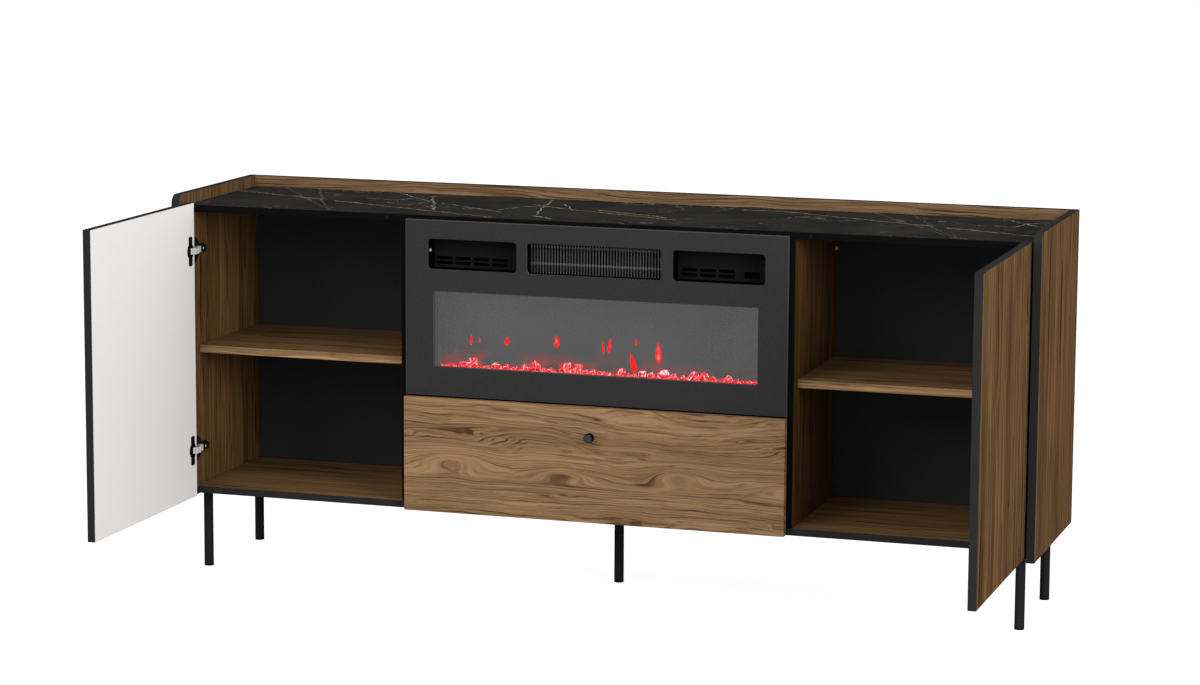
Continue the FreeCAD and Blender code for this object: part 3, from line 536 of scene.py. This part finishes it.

# Air openings: two pressed trays with rows of slots in their back wall, and the power switch in the right
# one. Between them is the heater outlet, a grille of upright fins on two cross rods with collars.
# Near black, partly real and partly painted shade: the power switch is black of its own. The trays' side
# walls and floor and the grille's fin sides and base are painted near black for the shade in the recesses and
# between the fins. The trays' back walls keep a dark grey.
black_and_painted_shade = coated("black_and_painted_shade", srgb(5, 5, 5), 0.2, 500, 0.42)
tray_back = coated("tray_back", srgb(27, 27, 28), 0.12, 500, 0.42)
# Painted light: the fins' front faces are painted lighter grey than the rest of the grille. At the two rod
# rows they are a still lighter grey, painted highlights.
lit_fin_face = coated("lit_fin_face", srgb(76, 76, 77), 0.12, 400, 0.35)
collar_highlight = coated("collar_highlight", srgb(98, 98, 99), 0.10, 400, 0.35)
no_ease = 0.0
for side in ("left", "right"):
    board(side + "_vent_tray", "dark_sheet", black_and_painted_shade, {"-Y": tray_back}, no_ease)
coat(black_and_painted_shade, "power_switch")
bm = copied("heater_grille")
lo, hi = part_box("heater_grille")
grille_frame = 0.004
lower_rod = 0.021
upper_rod = 0.009
collar_rows = (lo.z + grille_frame + lower_rod, hi.z - grille_frame - upper_rod)
collar_half = 0.0042
fin_front = lo.y + 0.020
fin_play = 0.0006
facing_front = -0.3
for face in bm.faces:
    middle = face.calc_center_median()
    at_collar = min(abs(middle.z - row) for row in collar_rows) < collar_half
    in_front = lo.y + fin_play < middle.y < fin_front + fin_play and face.normal.y < facing_front
    face.material_index = (2 if at_collar else 1) if in_front else 0
made = piece("heater_grille_fins", bm, "black_steel", "carcass", black_and_painted_shade, lit_fin_face, collar_highlight)
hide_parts("heater_grille")
tray_screw_place = (-0.3899, -0.184, 0.771)
tray_screw_radius = 0.0040
tray_screw_rise = 0.0022
bm = bmesh.new()
screw(bm, tray_screw_place, 1, tray_screw_radius, tray_screw_rise)
piece("tray_screw", bm, "zinc", "carcass", screw_grey)

# Fire front: an 8 mm charcoal glass-look plate over the whole bay with three air openings and a window
# cut in it. Its face is finely speckled, and its bevelled edge is painted paler as a thin line of painted
# highlight.
front_face, tree, shader, place = finish("charcoal_front", 0.5)
speck = eased(tree, noise(tree, place, (430.0, 430.0, 430.0), 3.0, 0.7), 0.3, 0.7)
tree.links.new(mixed(tree, speck, srgb(45, 45, 46), srgb(57, 57, 58)), shader.inputs["Base Color"])
dullest = 0.58
speck_gloss = -0.12
tree.links.new(added(tree, dullest, speck, speck_gloss), shader.inputs["Roughness"])
# Painted highlight: a paler grey on the plate's bevelled edge.
front_edge_highlight = coated("front_edge_highlight", srgb(72, 72, 73), 0.1, 300, 0.35)
highlight_bevel_width = 0.0012
board("fire_front", "charcoal_front", front_edge_highlight, {"-Y": front_face, "+Y": dark_sheet}, highlight_bevel_width)

# Window: a clear glass pane behind the front, and behind the fuel bed a grey screen on which the
# turning spindle throws its flames. The screen's grey is painted light that it gives out itself, with a red
# glow painted above the fuel bed.
pane, tree, shader, place = finish("clear_glass", 0.0, 0.5)
shader.inputs["Transmission Weight"].default_value = 1.0
shader.inputs["IOR"].default_value = 1.08
smear = noise(tree, place, (9.0, 9.0, 9.0), 3.0)
tree.links.new(mixed(tree, smear, srgb(246, 247, 247), srgb(255, 255, 255)), shader.inputs["Base Color"])
coat(pane, "viewing_glass")
screen, tree, shader, place = finish("smoked_screen", 0.7)
tray_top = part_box("crystals")[0].z
glow_top = tray_top + 0.046
glow_foot = tray_top + 0.004
dim_end = 0.32
lit_end = -0.10
sides = put(tree, "SeparateXYZ", {0: place}).outputs
# Painted glow: red light from the fuel bed painted onto the screen just above the tray, in patches and
# stronger towards the left.
painted_bed_glow = eased(tree, sides[2], glow_top, glow_foot)
painted_bed_glow = calc(tree, "MULTIPLY", painted_bed_glow, eased(tree, noise(tree, place, (13.0, 1.0, 22.0)), 0.40, 0.64))
painted_bed_glow = calc(tree, "MULTIPLY", painted_bed_glow, eased(tree, sides[0], dim_end, lit_end, 0.10, 0.50))
cloud = noise(tree, place, (6.0, 6.0, 6.0), 3.0)
# Painted light: the screen gives out this even grey light of its own, though it is no lamp.
grey = mixed(tree, eased(tree, cloud, 0.3, 0.7), srgb(79, 79, 79), srgb(85, 85, 85))
tree.links.new(mixed(tree, painted_bed_glow, grey, srgb(215, 30, 32)), shader.inputs["Emission Color"])
shader.inputs["Emission Strength"].default_value = 1.0
shader.inputs["Base Color"].default_value = srgb(34, 34, 34)
coat(screen, "flame_screen")

# Flames: tongues of red light with a pale core that the screen shows over the fuel bed. Each is a thin
# lens that stands on the screen's face and fades out towards its rim.
flame, tree, shader, place = finish("flame", 0.6)
core = put(tree, "Attribute", {}, attribute_name="core").outputs["Fac"]
pale_part = eased(tree, noise(tree, place, (150.0, 1.0, 60.0)), 0.36, 0.60, 0.1, 1.0)
pale_part = calc(tree, "MULTIPLY", eased(tree, core, 0.66, 0.98), pale_part)
flame_light = mixed(tree, pale_part, srgb(236, 30, 36), srgb(255, 170, 164))
tree.links.new(flame_light, shader.inputs["Emission Color"])
tree.links.new(eased(tree, core, 0.04, 0.72), shader.inputs["Alpha"])
shader.inputs["Emission Strength"].default_value = 1.0
shader.inputs["Base Color"].default_value = srgb(120, 10, 10)
screen_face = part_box("flame_screen")[0].y
lens_depth = 0.0012
widest_at = 0.3
widest = 1.25
narrowing = 0.85
bm = bmesh.new()
core_layer = bm.verts.layers.float.new("core")
for x, low, high, width, lean, heat in (
    (-0.310, 0.551, 0.578, 0.0065, 0.001, 0.62),
    (-0.290, 0.556, 0.572, 0.0045, 0.000, 0.42),
    (-0.225, 0.555, 0.577, 0.0115, 0.004, 0.72),
    (-0.107, 0.555, 0.586, 0.0140, 0.000, 0.84),
    (0.002, 0.545, 0.580, 0.0055, -0.003, 0.70),
    (0.017, 0.550, 0.587, 0.0090, 0.004, 0.76),
    (0.079, 0.571, 0.587, 0.0055, 0.001, 0.60),
    (0.072, 0.505, 0.557, 0.0150, -0.012, 0.70),
    (0.131, 0.533, 0.582, 0.0150, -0.002, 1.00),
):
    for vert in bmesh.ops.create_uvsphere(bm, u_segments=20, v_segments=16, radius=1.0)["verts"]:
        vert[core_layer] = abs(vert.co.y) * heat
        rise = (vert.co.z + 1) / 2
        slim = widest - narrowing * abs(rise - widest_at) / (1 - widest_at)
        vert.co.x = x + vert.co.x * slim * width / 2 + lean * (rise - 0.5)
        vert.co.y = screen_face - lens_depth * (1 - vert.co.y)
        vert.co.z = low + rise * (high - low)
piece("flame_tongues", bm, "ember_crystal", "carcass", flame)

# Fuel bed: loose cut-glass crystals from 8 to 30 mm among small chips, heaped on the tray behind the
# window. Light from below is painted into them as their own glow, deep red in some facets, with painted pale
# highlights along the edges.
crystal, tree, shader, _ = finish("ember_crystal", 0.12, 0.2)
glow = put(tree, "Attribute", {}, attribute_name="glow").outputs["Fac"]
deep = mixed(tree, eased(tree, glow, 0.0, 0.40), srgb(176, 8, 14), srgb(244, 30, 38))
bright = mixed(tree, eased(tree, glow, 0.45, 0.80), deep, srgb(255, 96, 102))
clearest = mixed(tree, eased(tree, glow, 0.80, 1.0), bright, srgb(255, 232, 232))
tree.links.new(clearest, shader.inputs["Emission Color"])
body_share = put(tree, "Attribute", {}, attribute_name="body").outputs["Fac"]
tree.links.new(body_share, shader.inputs["Alpha"])
shader.inputs["Emission Strength"].default_value = 0.95
shader.inputs["Base Color"].default_value = srgb(60, 8, 10)
random.seed(11)
lo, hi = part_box("crystals")
bm = bmesh.new()
glow_layer = bm.faces.layers.float.new("glow")
body_layer = bm.faces.layers.float.new("body")


def chunk(x, y, radius, tall, points, bright, body):
    """One cut crystal: the hull of a few points about an egg, its edges bevelled to thin rims of painted pale
    highlight. Its lower facets glow as if lit through, painted light, and the rest let through what the body
    leaves."""
    spiral_turn = 2.4
    turn_play = 0.6
    most_tilt = 0.5
    lit_height = 0.6 * radius * tall
    least_glow = 0.1
    rim_width = 0.085 * radius
    old = set(bm.faces)
    verts = []
    for index in range(points):
        up = 1 - 2 * (index + 0.5) / points
        round_share = math.sqrt(1 - up * up)
        turn = spiral_turn * index + random.uniform(-turn_play, turn_play)
        size = radius * random.uniform(0.86, 1.08)
        spot = Vector((math.cos(turn) * round_share, math.sin(turn) * round_share, up * tall))
        verts.append(bm.verts.new(spot * size))
    hull = bmesh.ops.convex_hull(bm, input=verts)
    bmesh.ops.delete(bm, geom=hull["geom_interior"] + hull["geom_unused"], context="VERTS")
    verts = list({v for f in set(bm.faces) - old for v in f.verts})
    sideways = Matrix.Rotation(random.uniform(-most_tilt, most_tilt), 3, "Y")
    forwards = Matrix.Rotation(random.uniform(-most_tilt, most_tilt), 3, "X")
    tilt = sideways @ forwards
    bmesh.ops.transform(bm, matrix=tilt.to_4x4(), verts=verts)
    foot = min(v.co.z for v in verts)
    bmesh.ops.translate(bm, vec=(x, y, lo.z - foot), verts=verts)
    facets = [f for f in bm.faces if f not in old]
    for facet in facets:
        lit = facet.calc_center_median().z - lo.z < lit_height
        facet[glow_layer] = min(1.0, random.random() ** 1.5 * bright + least_glow)
        facet[body_layer] = 1.0 if lit else body
    edges = list({e for f in facets for e in f.edges})
    bevel = {"offset": rim_width, "segments": 1, "profile": 0.5, "affect": "EDGES", "material": -1}
    # Painted highlight: the bevelled rims get pale glow colours at random.
    for rim in bmesh.ops.bevel(bm, geom=edges, **bevel)["faces"]:
        rim[glow_layer] = random.uniform(0.36, 0.98)
        rim[body_layer] = 1.0


crystal_room = 0.016
crystal_points = 11
radius_share = 0.62
brightest_glow_x = 0.10
glow_reach = 0.14
for x, height in (
    (-0.369, 0.008), (-0.338, 0.011), (-0.319, 0.019), (-0.295, 0.028), (-0.262, 0.010), (-0.243, 0.019),
    (-0.216, 0.014), (-0.195, 0.010), (-0.174, 0.018), (-0.148, 0.026), (-0.128, 0.012), (-0.110, 0.013),
    (-0.078, 0.029), (-0.048, 0.024), (-0.030, 0.014), (-0.012, 0.015), (0.006, 0.014), (0.026, 0.012),
    (0.053, 0.020), (0.084, 0.011), (0.104, 0.019), (0.121, 0.018), (0.148, 0.028), (0.174, 0.016),
    (0.195, 0.012), (0.219, 0.026), (0.243, 0.024), (0.264, 0.014), (0.300, 0.018),
):
    y = random.uniform(lo.y + crystal_room, hi.y - crystal_room)
    # Painted light: the crystals' glow is brightest about this point and fades to both sides.
    bright = 0.66 + 0.50 * math.exp(-((x - brightest_glow_x) / glow_reach) ** 2)
    body = random.choice((1.0, 0.7, 0.4, 0.2))
    chunk(x, y, radius_share * height, random.uniform(0.8, 1.05), crystal_points, bright, body)
chip_count = 320
chip_room = 0.005
chip_points = 8
chip_bright = 0.7
chip_run = hi.x - lo.x - 2 * chip_room
for index in range(chip_count):
    x = lo.x + chip_room + (index + random.random()) / chip_count * chip_run
    y = random.uniform(lo.y + chip_room, hi.y - chip_room)
    chunk(x, y, random.uniform(0.0032, 0.0064), 1.0, chip_points, chip_bright, 1.0)
bmesh.ops.recalc_face_normals(bm, faces=bm.faces)
made = piece("crystal_bed", bm, "ember_crystal", "carcass", crystal)
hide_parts("crystals")

# Drawer: a black foiled box with a hardboard bottom behind a walnut front, on steel ball runners. The
# front's grain lies level, with a lively figure, and one small black knob is screwed through it.
drawer_start = (0.35, 0.0, 0.22)
drawer_tones = (srgb(164, 131, 96), srgb(133, 103, 73), srgb(78, 58, 40))
drawer_eyes = (
    {"first": -0.330, "step": 0.524, "reach": 0.150, "level": 0.303, "half": 0.040, "lift": -0.033},
    {"first": -0.060, "step": 0.524, "reach": 0.200, "level": 0.292, "half": 0.036, "lift": -0.027},
    {"first": -0.118, "step": 0.528, "reach": 0.012, "level": 0.206, "half": 0.014, "lift": -0.018},
)
drawer_walnut = walnut("drawer_walnut", level_grain, drawer_start, 0.75, *drawer_tones, drawer_eyes)
board("drawer_front", "walnut_board", drawer_walnut, {"-Y": drawer_walnut, "+Y": black_foil})
coat(black_foil, "drawer_sides", "drawer_back", "drawer_bottom")
coat(zinc, "runner_outer_channels", "runner_middle_channels", "runner_inner_channels")
# Painted light: the knob is black all over, and its front face is painted lighter grey for the light that
# falls on it.
lit_knob_face = coated("lit_knob_face", srgb(58, 60, 62), 0.10, 900, 0.45)
knob_shank = coated("knob_shank", srgb(12, 12, 13), 0.15, 900, 0.4)
board("drawer_knob", "black_steel", knob_shank, {"-Y": lit_knob_face}, no_ease)

# Doors: 18 mm boards, walnut foil outside, white inside and black band round the edge. They swing on
# two sprung hinges each, and a small plunger latch in the top holds them shut.
door_tones = (srgb(121, 93, 63), srgb(90, 67, 43), srgb(45, 33, 20))
door_walnut = walnut("door_walnut", upright_grain, (4.4, 0.8, 0.5), 0.32, *door_tones)
white_foil = coated("white_foil", srgb(242, 239, 237), 0.02, 260, 0.5)
board("left_door", "walnut_board", edge_band, {"-X": door_walnut, "+X": white_foil})
board("right_door", "walnut_board", edge_band, {"+X": door_walnut, "-X": white_foil})
coat(black_plastic, "latch_sleeves", "left_latch_plunger", "right_latch_plunger")

# Door hinges: a pressed black cup and flange let into the door, bright steel knuckle, links and arm, and
# a winged black plate screwed to the upright, with a black cap over the arm's end.
nickel = coated("nickel", srgb(208, 207, 206), 0.06, 700, 0.35, 0.0, 0.4)
coat(black_plastic, "hinge_plates")
coat(nickel, "left_hinge_links", "right_hinge_links", "hinge_arms")
flange_steel = 0.001
flange_half = 0.034
flange_inset = 0.0215
flange_screw_step = 0.026
flange_screw_place = 0.0012
cap_depth = 0.030
cap_height = 0.017
cap_rise = 0.0125
cap_edge = 0.002
cap_screw_place = 0.0004
cap_screw_inset = 0.6 * cap_depth
cap_screw_lift = 0.001
upright_reach = 0.966
arm_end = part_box("hinge_arms")[1].y
for name, side in (("left", 1), ("right", -1)):
    cups = name + "_hinge_cups"
    bm = copied(cups)
    lo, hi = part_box(name + "_door")
    door_face = hi.x if side > 0 else lo.x
    flange_top = door_face + side * flange_steel
    for face in bm.faces:
        face.material_index = 1 if side * (face.calc_center_median().x - flange_top) > 0 else 0
    made = piece(cups + "_pressed", bm, "black_steel", name + "_door", black_plastic, nickel)
    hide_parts(cups)
    cup_lo, cup_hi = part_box(cups)
    hinge_rows = (cup_lo.z + flange_half, cup_hi.z - flange_half)
    flange_y = hi.y - flange_inset
    bm = bmesh.new()
    for z in hinge_rows:
        for step in (-flange_screw_step, flange_screw_step):
            screw(bm, (door_face + side * flange_screw_place, flange_y, z + step), side)
    piece(name + "_flange_screws", bm, "zinc", name + "_door", dark_sheet)
    upright_face = -side * upright_reach
    bm = bmesh.new()
    for z in hinge_rows:
        middle = Vector((upright_face + side * cap_rise / 2, arm_end - cap_depth / 2, z))
        shape = Matrix.Translation(middle) @ Matrix.Diagonal((cap_rise, cap_depth, cap_height, 1.0))
        cap = bmesh.ops.create_cube(bm, size=1.0, matrix=shape)["verts"]
        edges = list({e for v in cap for e in v.link_edges})
        bmesh.ops.bevel(bm, geom=edges, offset=cap_edge, segments=2, profile=0.5, affect="EDGES", material=-1)
    piece(name + "_hinge_caps", bm, "black_plastic", "carcass", black_plastic)
    cap_face = upright_face + side * (cap_rise + cap_screw_place)
    bm = bmesh.new()
    for z in hinge_rows:
        screw(bm, (cap_face, arm_end - cap_screw_inset, z + cap_screw_lift), side)
    piece(name + "_cap_screws", bm, "zinc", "carcass", bright_metal)


# Floor, light and camera: a plain pale studio with large soft lamps, seen from the front right and from
# a little above, as in the photograph.
floor_reach = 60.0
bm = bmesh.new()
bmesh.ops.create_grid(bm, x_segments=1, y_segments=1, size=floor_reach)
mesh = bpy.data.meshes.new("floor")
bm.to_mesh(mesh)
bm.free()
floor = bpy.data.objects.new("floor", mesh)
bpy.context.scene.collection.objects.link(floor)


def seen_share(tree):
    """1 where the surface is looked at, straight or in metal or glass, and 0 where it only gives light."""
    path = put(tree, "LightPath", {}).outputs
    mirrored = calc(tree, "MAXIMUM", path["Is Glossy Ray"], path["Is Transmission Ray"])
    return calc(tree, "MAXIMUM", path["Is Camera Ray"], mirrored)


white = (1.0, 1.0, 1.0, 1.0)
floor_grey = (0.35, 0.35, 0.35, 1.0)
floor_glow = 0.90
pale_floor, tree, shader, _ = finish("pale_floor", 0.9)
shader.inputs["Base Color"].default_value = floor_grey
shader.inputs["Emission Color"].default_value = white
tree.links.new(calc(tree, "MULTIPLY", seen_share(tree), floor_glow), shader.inputs["Emission Strength"])
mesh.materials.append(pale_floor)

ambient = 0.75
world = bpy.data.worlds.new("studio")
bpy.context.scene.world = world
world.use_nodes = True
tree = world.node_tree
sky = tree.nodes["Background"]
sky.inputs["Color"].default_value = white
tree.links.new(calc(tree, "MAXIMUM", seen_share(tree), ambient), sky.inputs["Strength"])


def lamp(name, place, target, size, power):
    """A large soft square lamp that looks at a point."""
    light = bpy.data.lights.new(name, "AREA")
    light.shape = "SQUARE"
    light.size = size
    light.energy = power
    made = bpy.data.objects.new(name, light)
    made.location = place
    made.rotation_euler = (Vector(target) - Vector(place)).to_track_quat("-Z", "Y").to_euler()
    bpy.context.scene.collection.objects.link(made)


middle_point = (0.0, 0.0, 0.5)
lamp("key_lamp", (-1.8, -4.8, 3.4), middle_point, 2.6, 85)
lamp("fill_lamp", (4.6, -3.4, 2.2), middle_point, 2.6, 185)
lamp("top_lamp", (0.0, 0.2, 4.2), middle_point, 3.0, 25)

photo_width = 1200
focal_pixels = 3445.5
camera_place = Vector((2.3020, -7.3555, 1.7895))
camera_yaw = 0.3094
camera_pitch = 0.1485
camera_roll = 0.0057
camera_shift = -0.03
camera_data = bpy.data.cameras.new("camera")
camera_data.sensor_width = 36.0
camera_data.lens = focal_pixels / photo_width * camera_data.sensor_width
camera_data.shift_y = camera_shift
camera_data.clip_end = 200.0
camera = bpy.data.objects.new("camera", camera_data)
level = Matrix.Rotation(camera_yaw, 4, "Z") @ Matrix.Rotation(math.pi / 2 - camera_pitch, 4, "X")
camera.matrix_world = Matrix.Translation(camera_place) @ level @ Matrix.Rotation(camera_roll, 4, "Z")
bpy.context.scene.collection.objects.link(camera)
bpy.context.scene.camera = camera
bpy.context.scene.view_settings.view_transform = "Standard"
